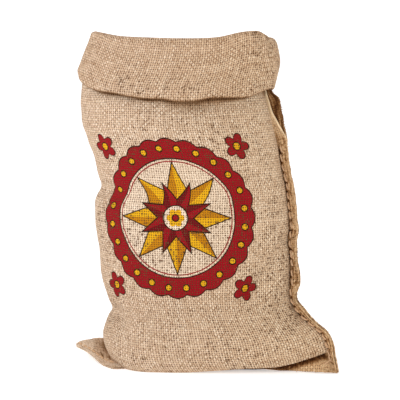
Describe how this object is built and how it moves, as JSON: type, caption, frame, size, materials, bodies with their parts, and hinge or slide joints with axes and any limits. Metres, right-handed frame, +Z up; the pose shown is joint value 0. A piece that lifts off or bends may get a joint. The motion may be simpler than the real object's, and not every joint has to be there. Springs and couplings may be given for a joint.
{
  "type": "burlap sack",
  "caption": "Small plain-woven jute sack that stands open, mouth rolled down in a deep cuff, sewn down one side and along the bottom with two soft corner ears.",
  "frame": {"origin": "on the surface that the sack stands on, under the middle of its box", "axes": "+Z up through the mouth, -Y towards the front panel, -X the folded side, +X the sewn side"},
  "size_m": [0.2974, 0.1563, 0.3677],
  "materials": {
    "burlap": "coarse plain-woven natural jute, matt and hairy"
  },
  "bodies": {
    "root": {"sack_cloth": "burlap"}
  },
  "joints": []
}
